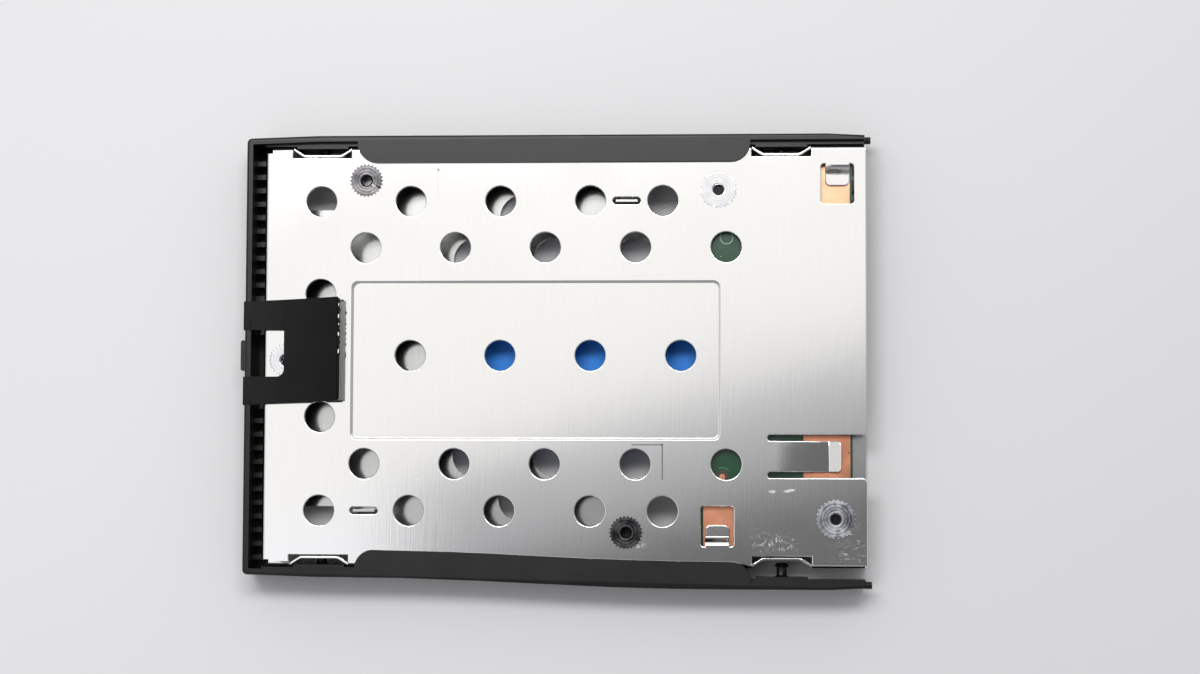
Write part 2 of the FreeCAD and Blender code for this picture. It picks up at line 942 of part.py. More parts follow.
def front_strip(outer, inner, x0, x1, z0, z1):
    # Length of the front rail between two offsets from the body's centre line, following the splay.
    start = min(x0, splay_start - sliver)
    end = max(x1, splay_end + sliver)
    points = [(start, -outer)] + splay_bends(outer) + [(end, -outer - front_splay)]
    points += [(end, -inner - front_splay)] + splay_bends(inner)[::-1] + [(start, -inner)]
    strip = prism(points, z0, z1)
    if x0 > start or x1 < end:
        strip = strip.common(box(x0, x1, -far, far, z0, z1))
    return strip


def back_strip(outer, inner, x0, x1, z0, z1):
    return box(x0, x1, inner, outer, z0, z1)


def peg(x, y_root, toward):
    # Turned rubber peg along Y: flared root, neck through the tray's side, rounded head behind it.
    neck_end = rail_gap + recess_depth + tray_sheet + peg_head_gap
    length = neck_end + peg_head_length
    points = [
        (0, 0),
        (peg_base / 2, 0),
        (peg_neck / 2, peg_flare),
        (peg_neck / 2, neck_end),
        (peg_head / 2, neck_end + peg_head_lead),
        (peg_neck / 2, length),
        (0, length),
    ]
    face = Part.Face(outline(points, lambda a, b: V(x + a, y_root + toward * b, peg_height)))
    return face.revolve(V(x, y_root, peg_height), V(0, 1, 0), 360)


def lip_ring():
    # Outer lip of the U in one piece, its outside edges rounded above and below.
    corner_half = rail_outer - corner_pinch
    pinch_x = end_outer + corner_pinch_length
    outside = [
        (rail_front, rail_outer - rail_taper),
        (rail_front - rail_taper_length, rail_outer),
        (pinch_x, rail_outer, corner_ease),
        (end_outer, corner_half, corner_round),
        (end_outer, -corner_half, corner_round),
        (pinch_x, -rail_outer, corner_ease),
        *splay_bends(rail_outer),
        (rail_front - rail_taper_length, -rail_outer - front_splay),
        (rail_front, -rail_outer - front_splay + rail_taper),
    ]
    inside = [
        (rail_front + sliver, lip_inner),
        (pinch_x, lip_inner),
        (end_inner, corner_half - rail_lip),
        (end_inner, -corner_half + rail_lip),
        (pinch_x, -lip_inner),
        *splay_bends(lip_inner),
        (rail_front + sliver, -lip_inner - front_splay),
    ]
    block = prism(outside, bumper_bottom, bumper_top)
    level = [edge for edge in block.Edges if edge.BoundBox.ZLength < sliver]
    round_edges = [edge for edge in level if edge.CenterOfMass.x < rail_front - sliver]
    block = block.makeFillet(edge_round, round_edges)
    return block.cut(prism(inside, bumper_bottom - sliver, bumper_top + sliver))


def flange_plate(strip, outer, sign, z0, z1):
    # Flange over the metal's edge; its inner corners are rounded in plan.
    inner = side - flange_overlap
    plate = strip(outer, inner, flange_start, flange_end, z0, z1)
    for x, to_x in ((flange_start, 1), (flange_end, -1)):
        shift = splay_at(x) if sign < 0 else 0
        y = sign * (inner + shift)
        plate = plate.cut(flange_round(x, y, to_x, sign, z0, z1))
    return plate


def flange_round(x, y, to_x, to_y, z0, z1):
    r = flange_corner
    reach = 2 * rail_gap
    x0, x1 = sorted((x - to_x * sliver, x + to_x * r))
    y0, y1 = sorted((y - to_y * reach, y + to_y * r))
    corner = box(x0, x1, y0, y1, z0 - sliver, z1 + sliver)
    return corner.cut(disc(x + to_x * r, y + to_y * r, -far, far, 2 * r))


def end_bar():
    # Ledge under the metal's rear edge, crush ribs in the channel and the outside nub.
    lip_half = rail_outer - corner_pinch - rail_lip
    parts = [box(end_inner, rear + end_ledge, -lip_half, lip_half, bumper_bottom, -flange_fit)]
    clear_back = tab_back + tab_slot_gap
    clear_front = tab_front - tab_slot_gap
    y = -lip_half + rib_margin
    while y + rib_width < lip_half - rib_margin:
        if y + rib_width < clear_front or y > clear_back:
            parts.append(box(end_inner, rear - rib_gap, y, y + rib_width, -flange_fit, rib_top))
        y += rib_pitch
    nub = [
        (end_outer, -nub_width / 2),
        (end_outer, nub_width / 2),
        (end_outer - nub_reach, nub_width / 2, nub_round),
        (end_outer - nub_reach, -nub_width / 2, nub_round),
    ]
    parts.append(prism(nub, nub_bottom, nub_top))
    return parts


def film_slots():
    # Room for the film's two legs under the end bar and up through its ledge.
    slots = []
    floor = bumper_bottom - sliver
    film_room = film_floor + film + film_fit
    for y0, y1 in ((tab_window_back, tab_back), (tab_front, tab_window_front)):
        low = y0 - tab_slot_gap
        high = y1 + tab_slot_gap
        slots.append(box(end_outer - sliver, end_inner, low, high, floor, film_room))
        slots.append(box(end_inner, rear - tab_slot_gap, low, high, floor, -flange_fit + sliver))
    return slots


def bumper_frame():
    step_low = bumper_bottom + rail_step
    step_high = bumper_top - rail_step
    middle = (bumper_bottom + bumper_top) / 2
    frame = lip_ring().fuse(end_bar())
    for sign, strip in ((1, back_strip), (-1, front_strip)):
        pieces = [
            strip(lip_inner, rail_inner, rear, rail_front, step_low, step_high),
            strip(lip_inner, rail_inner, flange_start, flange_end, bumper_bottom, bumper_top),
            flange_plate(strip, lip_inner, sign, plate_top + flange_fit, bumper_top),
            flange_plate(strip, lip_inner, sign, bumper_bottom, -flange_fit),
        ]
        for x in peg_places:
            shift = splay_at(x) if sign < 0 else 0
            root = sign * (rail_inner + shift)
            y0, y1 = sorted((root, root - sign * peg_pad))
            half = peg_pad_length / 2
            pieces.append(box(x - half, x + half, y0, y1, step_low, step_high))
            pieces.append(peg(x, root, -sign))
        shift = splay_at(rail_front) if sign < 0 else 0
        tip_root = V(rail_front, sign * (rail_outer + shift - tip_edge), middle)
        pieces.append(Part.makeCylinder(tip_bore / 2, tip_length, tip_root, V(1, 0, 0)))
        frame = frame.fuse(pieces)
    return one(frame.cut(film_slots()))


def pull_tab():
    # Film loop round the end bar, in side view, with both layers joined into a tail that springs up.
    x0 = end_outer - film_fit
    x1 = end_inner + film_fit
    z0 = film_floor + film
    z1 = bumper_top + film_fit
    outer = rectangle(x0 - film, x1 + film, z0 - film, z1 + film, film_fold + film)
    inner = rectangle(x0, x1, z0, z1, film_fold)
    y0 = min(tab_front, tab_front + tab_skew)
    y1 = max(tab_back, tab_back + tab_skew)
    loop = side_profile(outer, y0, y1).cut(side_profile(inner, -far, far))
    start = x1
    end = end_outer + tab_tail
    run = end - start
    radius = (run ** 2 + tab_lift ** 2) / (2 * tab_lift)
    top = z1 + film
    turn = math.asin(run / radius)

    def on_arc(angle, r):
        return V(start + r * math.sin(angle), 0, top + radius - r * math.cos(angle))

    thick = 2 * film
    upper = [on_arc(turn * s, radius) for s in (0, 0.5, 1)]
    lower = [on_arc(turn * s, radius + thick) for s in (1, 0.5, 0)]
    edges = [
        Part.Arc(*upper).toShape(),
        Part.makeLine(upper[2], lower[0]),
        Part.Arc(*lower).toShape(),
        Part.makeLine(lower[2], upper[0]),
    ]
    face = Part.Face(Part.Wire(edges))
    face.translate(V(0, y0, 0))
    tail = face.extrude(V(0, y1 - y0, 0))
    reach = x0 - 2 * film
    past = end + 2 * film
    plan = prism([
        (reach, tab_front),
        (past, tab_front + tab_skew),
        (past, tab_back + tab_skew),
        (reach, tab_back),
    ], -far, far)
    window = prism([
        (reach, tab_window_front),
        (end_outer + tab_window_end, tab_window_front, tab_window_corner),
        (end_outer + tab_window_end, tab_window_back, film_fold),
        (reach, tab_window_back),
    ], -far, far)
    return one(loop.fuse(tail).common(plan).cut(window))


def all_parts():
    pad, liner = pad_and_liner()
    signal, power = plug_tongues()
    parts = {
        "vented_tray": vented_tray(),
        "bottom_cover": bottom_cover(),
        "bumper_frame": bumper_frame(),
        "pull_tab": pull_tab(),
        "adapter_board": adapter_board(),
        "drive_socket": drive_socket(),
        "socket_contacts_rear": socket_contacts(socket_rear - contact_tail),
        "socket_contacts_front": socket_contacts(socket_front),
        "host_plug": host_plug(),
        "signal_contacts": plug_contacts(signal, signal_count),
        "power_contacts": plug_contacts(power, power_count),
        "thermal_pad": pad,
        "pad_liner": liner,
    }
    parts.update(ground_lands())
    parts.update(supply_parts())
    for name, (x, y, head, barrel) in standoffs.items():
        if name in cover_seats:
            end = cover_sheet + dimple_depth
            seat = dimple_depth
            parts[name.replace("standoff", "screw")] = screw(
                x, y, cover_screw_head, cover_screw_thick, seat, plate_top - cover_screw_gap)
        elif name in board_seats:
            end = board_top
            parts[name.replace("standoff", "screw")] = screw(
                x, y, board_screw_head, board_screw_thick, board_under, plate_top - board_screw_gap)
        else:
            end = card_top
        parts[name] = standoff(x, y, head, barrel, end)
    return parts


def main():
    parts = all_parts()
    whole = FreeCAD.BoundBox()
    for shape in parts.values():
        whole.add(shape.optimalBoundingBox(False, False))
    move = V(-(whole.XMin + whole.XMax) / 2, -(whole.YMin + whole.YMax) / 2, -whole.ZMin)
    os.makedirs("parts", exist_ok=True)
    for name, shape in parts.items():
        shape.translate(move)
        shape.exportStep("parts/%s.step" % name)
        state = "valid" if shape.isValid() else "NOT VALID"
        print(name, state, len(shape.Solids), "solids, volume", round(shape.Volume, 2))
    print("moved by", [round(v, 4) for v in move])
    print("size", round(whole.XLength, 3), round(whole.YLength, 3), round(whole.ZLength, 3))


main()
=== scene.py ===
import math
import bpy
from mathutils import Matrix, Vector


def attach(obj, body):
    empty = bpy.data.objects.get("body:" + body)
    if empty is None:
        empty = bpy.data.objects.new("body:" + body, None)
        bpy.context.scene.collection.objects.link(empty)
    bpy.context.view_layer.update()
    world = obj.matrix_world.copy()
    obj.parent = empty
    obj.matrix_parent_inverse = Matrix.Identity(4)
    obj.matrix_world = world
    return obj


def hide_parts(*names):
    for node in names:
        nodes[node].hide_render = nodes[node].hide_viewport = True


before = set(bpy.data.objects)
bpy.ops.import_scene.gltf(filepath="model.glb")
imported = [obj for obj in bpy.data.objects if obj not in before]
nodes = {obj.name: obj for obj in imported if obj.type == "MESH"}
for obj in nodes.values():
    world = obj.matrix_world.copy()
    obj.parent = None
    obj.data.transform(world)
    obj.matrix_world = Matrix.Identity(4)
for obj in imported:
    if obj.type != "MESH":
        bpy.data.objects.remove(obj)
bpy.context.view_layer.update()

mm = 0.001
scene = bpy.context.scene
print("loaded", len(nodes), "nodes")


# small helpers for objects and meshes

def selectOnly(piece):
    bpy.ops.object.select_all(action="DESELECT")
    piece.select_set(True)
    bpy.context.view_layer.objects.active = piece


def applyModifier(piece, kind, settings):
    selectOnly(piece)
    modifier = piece.modifiers.new(kind.lower(), kind)
    for key, value in settings.items():
        setattr(modifier, key, value)
    bpy.ops.object.modifier_apply(modifier=modifier.name)


def smoothShade(piece, degrees):
    selectOnly(piece)
    bpy.ops.object.shade_smooth_by_angle(angle=math.radians(degrees))


def dress(piece, material):
    piece.data.materials.clear()
    piece.data.materials.append(material)


def joinPieces(pieces):
    bpy.ops.object.select_all(action="DESELECT")
    for piece in pieces:
        piece.select_set(True)
    bpy.context.view_layer.objects.active = pieces[0]
    if len(pieces) > 1:
        bpy.ops.object.join()
    return pieces[0]


def nodeBox(nodeName):
    corners = [Vector(corner) for corner in nodes[nodeName].bound_box]
    low = Vector([min(corner[axis] for corner in corners) for axis in range(3)])
    high = Vector([max(corner[axis] for corner in corners) for axis in range(3)])
    return low, high


# edges of the sheet-metal tray: punched rims and the bends of the pressed panel, in mm

rimPlan = {"sheet": 0.5, "through": 0.9, "round": 0.16, "steps": 3, "headSpace": 0.4}
panelPlan = {"x": -3.16, "y": 0.15, "halfLong": 31.4, "halfWide": 13.9, "round": 0.06, "steps": 2}
facing = {"level": 0.9999, "top": 0.9, "slope": 0.3, "wall": 0.1}  # upward share of a face's normal


def toothedHeads():
    # plan centre and reach of each standoff
    heads = []
    for nodeName in nodes:
        if "standoff" in nodeName:
            low, high = nodeBox(nodeName)
            middle = (low + high) / 2
            heads.append((middle.x, middle.y, (high.x - low.x) / 2 + rimPlan["headSpace"] * mm))
    return heads


def clearSelection(kind):
    # nothing selected in the mesh, and edges or faces as what gets selected next
    bpy.ops.object.mode_set(mode="EDIT")
    bpy.ops.mesh.select_mode(type=kind)
    bpy.ops.mesh.select_all(action="DESELECT")
    bpy.ops.object.mode_set(mode="OBJECT")


def pickSheetEdges(piece, kind, heads):
    # selects the sheet's punched edges, clear of the toothed heads, or the bends of its pressed panel
    clearSelection("EDGE")
    corners = piece.data.vertices
    beside = {}
    for face in piece.data.polygons:
        for key in face.edge_keys:
            beside.setdefault(key, []).append(face)
    for edge in piece.data.edges:
        faces = beside.get(edge.key, [])
        tops = [face for face in faces if face.normal.z > facing["top"]]
        walls = [face for face in faces if abs(face.normal.z) < facing["wall"]]
        slopes = [face for face in faces if facing["slope"] < face.normal.z < facing["top"]]
        middle = (corners[edge.vertices[0]].co + corners[edge.vertices[1]].co) / 2
        wanted = False
        if kind == "punched" and len(tops) == 1 and len(walls) == 1:
            depth = middle.z - min(corners[index].co.z for index in walls[0].vertices)
            clear = all(math.hypot(middle.x - x, middle.y - y) > reach for x, y, reach in heads)
            wanted = depth > rimPlan["through"] * rimPlan["sheet"] * mm and clear
        if kind == "pressed" and len(tops) == 1 and len(slopes) == 1:
            wanted = abs(middle.x / mm - panelPlan["x"]) < panelPlan["halfLong"]
            wanted = wanted and abs(middle.y / mm - panelPlan["y"]) < panelPlan["halfWide"]
        if wanted:
            edge.select = True
            for index in edge.vertices:
                corners[index].select = True


def roundSheetEdges(piece):
    for kind, plan in (("punched", rimPlan), ("pressed", panelPlan)):
        pickSheetEdges(piece, kind, toothedHeads())
        bpy.ops.object.mode_set(mode="EDIT")
        bpy.ops.mesh.bevel(offset=plan["round"] * mm, segments=plan["steps"], profile=0.5, affect="EDGES",
                           clamp_overlap=False, loop_slide=False)
        bpy.ops.object.mode_set(mode="OBJECT")


def holdLevelFaces(piece):
    # the sheet's level faces keep their own normals, so that the plate shades flat up to its edges
    clearSelection("FACE")
    for face in piece.data.polygons:
        face.select = abs(face.normal.z) > facing["level"]
    bpy.ops.object.mode_set(mode="EDIT")
    bpy.ops.mesh.mod_weighted_strength(set=True, face_strength="STRONG")
    bpy.ops.object.mode_set(mode="OBJECT")


easePlan = {"merge": 0.002, "flatAngle": 0.6, "edgeAngle": 38, "softAngle": 40, "weight": 60}


def easedCopy(nodeName, pieceName, ease, steps, material):
    # the node's shape again, its edges broken so that they catch the light
    sheet = nodeName == "vented_tray"
    selectOnly(nodes[nodeName])
    bpy.ops.object.duplicate()
    piece = bpy.context.active_object
    piece.name = pieceName
    piece.parent = None
    for key in list(piece.keys()):
        del piece[key]
    bpy.ops.object.mode_set(mode="EDIT")
    bpy.ops.mesh.select_all(action="SELECT")
    bpy.ops.mesh.remove_doubles(threshold=easePlan["merge"] * mm)
    bpy.ops.mesh.dissolve_limited(angle_limit=math.radians(easePlan["flatAngle"]))
    bpy.ops.object.mode_set(mode="OBJECT")
    if sheet:
        roundSheetEdges(piece)
    applyModifier(piece, "BEVEL", {"width": ease * mm, "segments": steps, "limit_method": "ANGLE",
                                   "angle_limit": math.radians(easePlan["edgeAngle"]),
                                   "use_clamp_overlap": True})
    smoothShade(piece, easePlan["softAngle"])
    if sheet:
        holdLevelFaces(piece)
    applyModifier(piece, "WEIGHTED_NORMAL", {"keep_sharp": True, "weight": easePlan["weight"],
                                             "use_face_influence": sheet})
    dress(piece, material)
    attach(piece, "root")
    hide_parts(nodeName)
    return piece


# small helpers for shader nodes

floatKind = "NodeSocketFloat"
vectorKind = "NodeSocketVector"


def addNode(tree, kind, values=None, settings=None):
    node = tree.nodes.new(kind)
    for key, value in (settings or {}).items():
        setattr(node, key, value)
    for key, value in (values or {}).items():
        node.inputs[key].default_value = value
    return node


def feed(tree, value, socket):
    # a link from another socket, or a plain value
    if isinstance(value, bpy.types.NodeSocket):
        tree.links.new(value, socket)
    else:
        socket.default_value = value


def useMath(tree, operation, *values):
    node = addNode(tree, "ShaderNodeMath", settings={"operation": operation})
    for value, socket in zip(values, node.inputs):
        feed(tree, value, socket)
    return node.outputs[0]


def useVectors(tree, operation, *values):
    # the same for vectors; a length or a dot product comes out as a number
    node = addNode(tree, "ShaderNodeVectorMath", settings={"operation": operation})
    for value, socket in zip(values, node.inputs):
        feed(tree, value, socket)
    return node.outputs["Value" if operation in ("LENGTH", "DOT_PRODUCT") else "Vector"]


def noise(tree, place, scale, detail, roughness):
    node = addNode(tree, "ShaderNodeTexNoise", {"Detail": detail, "Roughness": roughness})
    feed(tree, place, node.inputs["Vector"])
    feed(tree, scale, node.inputs["Scale"])
    return node.outputs["Fac"]


def remap(tree, source, fromLow, fromHigh, toLow=0.0, toHigh=1.0, curve="LINEAR"):
    # one range of values laid over another, and held at its ends
    node = addNode(tree, "ShaderNodeMapRange", settings={"interpolation_type": curve})
    feed(tree, source, node.inputs["Value"])
    feed(tree, fromLow, node.inputs["From Min"])
    feed(tree, fromHigh, node.inputs["From Max"])
    feed(tree, toLow, node.inputs["To Min"])
    feed(tree, toHigh, node.inputs["To Max"])
    return node.outputs["Result"]


def newGroup(name, inputs, outputs):
    group = bpy.data.node_groups.new(name, "ShaderNodeTree")
    for socketName, kind, value in inputs:
        socket = group.interface.new_socket(socketName, in_out="INPUT", socket_type=kind)
        socket.default_value = value
    for socketName in outputs:
        group.interface.new_socket(socketName, in_out="OUTPUT", socket_type=floatKind)
    return group, group.nodes.new("NodeGroupInput").outputs, group.nodes.new("NodeGroupOutput").inputs


# shared surface effects

def makeStreaks():
    # fine lines that run along Y, as rolling leaves them, with soft clouds under them
    group, given, result = newGroup(
        "rolledStreaks",
        [("Vector", vectorKind, (0, 0, 0)), ("Fineness", floatKind, 3500.0), ("Length", floatKind, 22.0)],
        ["Streak", "Cloud"])
    scale = addNode(group, "ShaderNodeCombineXYZ")
    feed(group, given["Fineness"], scale.inputs["X"])
    feed(group, useMath(group, "DIVIDE", given["Fineness"], given["Length"]), scale.inputs["Y"])
    feed(group, given["Fineness"], scale.inputs["Z"])
    stretched = useVectors(group, "MULTIPLY", given["Vector"], scale.outputs[0])
    feed(group, noise(group, stretched, 1.0, 3.0, 0.6), result["Streak"])
    feed(group, noise(group, given["Vector"], 60.0, 2.0, 0.5), result["Cloud"])
    return group


def makeGrain():
    # the even, slightly mottled grain of moulded parts
    group, given, result = newGroup(
        "mouldGrain",
        [("Vector", vectorKind, (0, 0, 0)), ("Scale", floatKind, 5000.0), ("Patch", floatKind, 180.0)],
        ["Grain", "Mottle"])
    feed(group, noise(group, given["Vector"], given["Scale"], 2.0, 0.6), result["Grain"])
    feed(group, noise(group, given["Vector"], given["Patch"], 3.0, 0.55), result["Mottle"])
    return group


def makeTurnedRings():
    # concentric tool marks round an upright axis, and the distance from that axis
    group, given, result = newGroup(
        "turnedRings",
        [("Vector", vectorKind, (0, 0, 0)), ("Centre", vectorKind, (0, 0, 0)), ("Pitch", floatKind, 0.0003)],
        ["Ring", "Reach"])
    offset = useVectors(group, "SUBTRACT", given["Vector"], given["Centre"])
    reach = useVectors(group, "LENGTH", useVectors(group, "MULTIPLY", offset, (1, 1, 0)))
    turns = useMath(group, "DIVIDE", reach, given["Pitch"])
    wave = useMath(group, "SINE", useMath(group, "MULTIPLY", turns, 2 * math.pi))
    feed(group, remap(group, wave, -1.0, 1.0), result["Ring"])
    feed(group, reach, result["Reach"])
    return group


def makeScuffs():
    # broken curved scratches inside a soft oval: Reach is its half size, Grain the fineness, Line the width
    group, given, result = newGroup(
        "scuffPatch",
        [("Vector", vectorKind, (0, 0, 0)), ("Centre", vectorKind, (0, 0, 0)),
         ("Reach", vectorKind, (1, 1, 1)), ("Grain", vectorKind, (2000, 2000, 2000)),
         ("Line", floatKind, 0.02), ("Whole", floatKind, 0.0)],
        ["Scuff"])
    offset = useVectors(group, "SUBTRACT", given["Vector"], given["Centre"])
    share = useVectors(group, "DIVIDE", offset, given["Reach"])
    away = useVectors(group, "LENGTH", useVectors(group, "MULTIPLY", share, (1, 1, 0)))
    inside = remap(group, away, 1.0, 0.3)
    # a line runs where the stretched noise crosses its middle value
    stretched = useVectors(group, "MULTIPLY", given["Vector"], given["Grain"])
    centred = useMath(group, "SUBTRACT", noise(group, stretched, 1.0, 1.0, 0.5), 0.5)
    line = remap(group, useMath(group, "ABSOLUTE", centred), given["Line"], 0.0)
    broken = remap(group, noise(group, given["Vector"], 1400.0, 1.0, 0.5), 0.44, 0.58)
    kept = useMath(group, "MAXIMUM", broken, given["Whole"])
    scuff = useMath(group, "MULTIPLY", line, inside)
    feed(group, useMath(group, "MULTIPLY", scuff, kept), result["Scuff"])
    return group


streakGroup = makeStreaks()
grainGroup = makeGrain()
ringGroup = makeTurnedRings()
scuffGroup = makeScuffs()
print("shared effects ready")


# materials

def newMaterial(name):
    material = bpy.data.materials.new(name)
    material.use_nodes = True
    tree = material.node_tree
    shader = tree.nodes["Principled BSDF"]
    place = addNode(tree, "ShaderNodeTexCoord")
    return material, tree, shader, place.outputs["Object"]


def spread(tree, source, low, high, target, sourceLow=0.3, sourceHigh=0.7):
    # a 0 to 1 pattern laid over a range of values
    tree.links.new(remap(tree, source, sourceLow, sourceHigh, low, high), target)


def tint(tree, source, low, high, target, sourceLow=0.3, sourceHigh=0.7):
    # a 0 to 1 pattern laid between two colours
    blend = addNode(tree, "ShaderNodeMix", settings={"data_type": "RGBA"})
    for socket in blend.inputs:
        if socket.name in ("A", "B") and socket.type == "RGBA":
            socket.default_value = (*(low if socket.name == "A" else high), 1)
    tree.links.new(remap(tree, source, sourceLow, sourceHigh), blend.inputs["Factor"])
    result = [socket for socket in blend.outputs if socket.type == "RGBA"][0]
    tree.links.new(result, target)


def relief(tree, source, shader, strength, depth):
    node = addNode(tree, "ShaderNodeBump", {"Strength": strength, "Distance": depth * mm})
    tree.links.new(source, node.inputs["Height"])
    tree.links.new(node.outputs["Normal"], shader.inputs["Normal"])


def useGroup(tree, group, place, values=None):
    node = addNode(tree, "ShaderNodeGroup", settings={"node_tree": group})
    tree.links.new(place, node.inputs["Vector"])
    for key, value in (values or {}).items():
        node.inputs[key].default_value = value
    return node.outputs


reliefDepth = {"sheet": 0.01, "mould": 0.02, "turned": 0.01}


def metalSheet(name, low, high, smooth, rough, lift):
    material, tree, shader, place = newMaterial(name)
    shader.inputs["Metallic"].default_value = 1.0
    streaks = useGroup(tree, streakGroup, place)
    tint(tree, streaks["Streak"], low, high, shader.inputs["Base Color"])
    spread(tree, streaks["Cloud"], smooth, rough, shader.inputs["Roughness"])
    relief(tree, streaks["Streak"], shader, lift, reliefDepth["sheet"])
    return material


def mouldedPart(name, low, high, smooth, rough, grain, metallic=0.0, gloss=0.5):
    material, tree, shader, place = newMaterial(name)
    shader.inputs["Metallic"].default_value = metallic
    shader.inputs["Specular IOR Level"].default_value = gloss
    pattern = useGroup(tree, grainGroup, place)
    tint(tree, pattern["Mottle"], low, high, shader.inputs["Base Color"])
    spread(tree, pattern["Mottle"], smooth, rough, shader.inputs["Roughness"])
    relief(tree, pattern["Grain"], shader, grain, reliefDepth["mould"])
    return material


turnPlan = {"pitch": 0.52, "ringShare": 0.2, "relief": 0.25, "grain": 3000.0, "patch": 700.0, "quarter": 0.25,
            "tint": (0.4, 0.8), "rimBand": (0.80, 0.92), "mouthBand": (0.46, 0.36)}  # bands in head radii


def turnedHead(name, node, low, high, smooth, rough, fan, rim=None):
    # a lathe-turned end: ring marks, and highlights that fan out from the axis
    material, tree, shader, place = newMaterial(name)
    shader.inputs["Metallic"].default_value = 1.0
    shader.inputs["Anisotropic"].default_value = fan
    shader.inputs["Anisotropic Rotation"].default_value = turnPlan["quarter"]
    lowCorner, highCorner = nodeBox(node)
    rings = useGroup(tree, ringGroup, place, {"Centre": (lowCorner + highCorner) / 2,
                                              "Pitch": turnPlan["pitch"] * mm})
    grain = useGroup(tree, grainGroup, place, {"Scale": turnPlan["grain"], "Patch": turnPlan["patch"]})
    pattern = useMath(tree, "MULTIPLY_ADD", rings["Ring"], turnPlan["ringShare"], grain["Mottle"])
    if rim:
        # painted highlight: paler bands at the rim and round the bore's mouth, where these edges catch the
        # light
        outer = (highCorner.x - lowCorner.x) / 2
        for near, far in (turnPlan["rimBand"], turnPlan["mouthBand"]):
            rimHighlight = remap(tree, rings["Reach"], near * outer, far * outer, 0.0, rim)
            pattern = useMath(tree, "ADD", pattern, rimHighlight)
    tint(tree, pattern, low, high, shader.inputs["Base Color"], *turnPlan["tint"])
    spread(tree, grain["Mottle"], smooth, rough, shader.inputs["Roughness"])
    relief(tree, rings["Ring"], shader, turnPlan["relief"], reliefDepth["turned"])
    return material


def addWear(material, patches, rough, bare):
    # scratched spots are rougher and less mirror-like than the sheet round them
    tree = material.node_tree
    shader = tree.nodes["Principled BSDF"]
    place = addNode(tree, "ShaderNodeTexCoord").outputs["Object"]
    worn = 0.0
    for patch in patches:
        spot = useGroup(tree, scuffGroup, place, {
            "Centre": [value * mm for value in patch["centre"]],
            "Reach": [value * mm for value in patch["reach"]],
            "Grain": patch["grain"], "Line": patch["line"], "Whole": patch.get("whole", 0.0)})
        worn = useMath(tree, "MAXIMUM", worn, spot["Scuff"])
    sheetRough = shader.inputs["Roughness"].links[0].from_socket
    tree.links.new(useMath(tree, "MULTIPLY_ADD", worn, rough, sheetRough), shader.inputs["Roughness"])
    spread(tree, worn, 1.0, bare, shader.inputs["Metallic"], 0.0, 1.0)


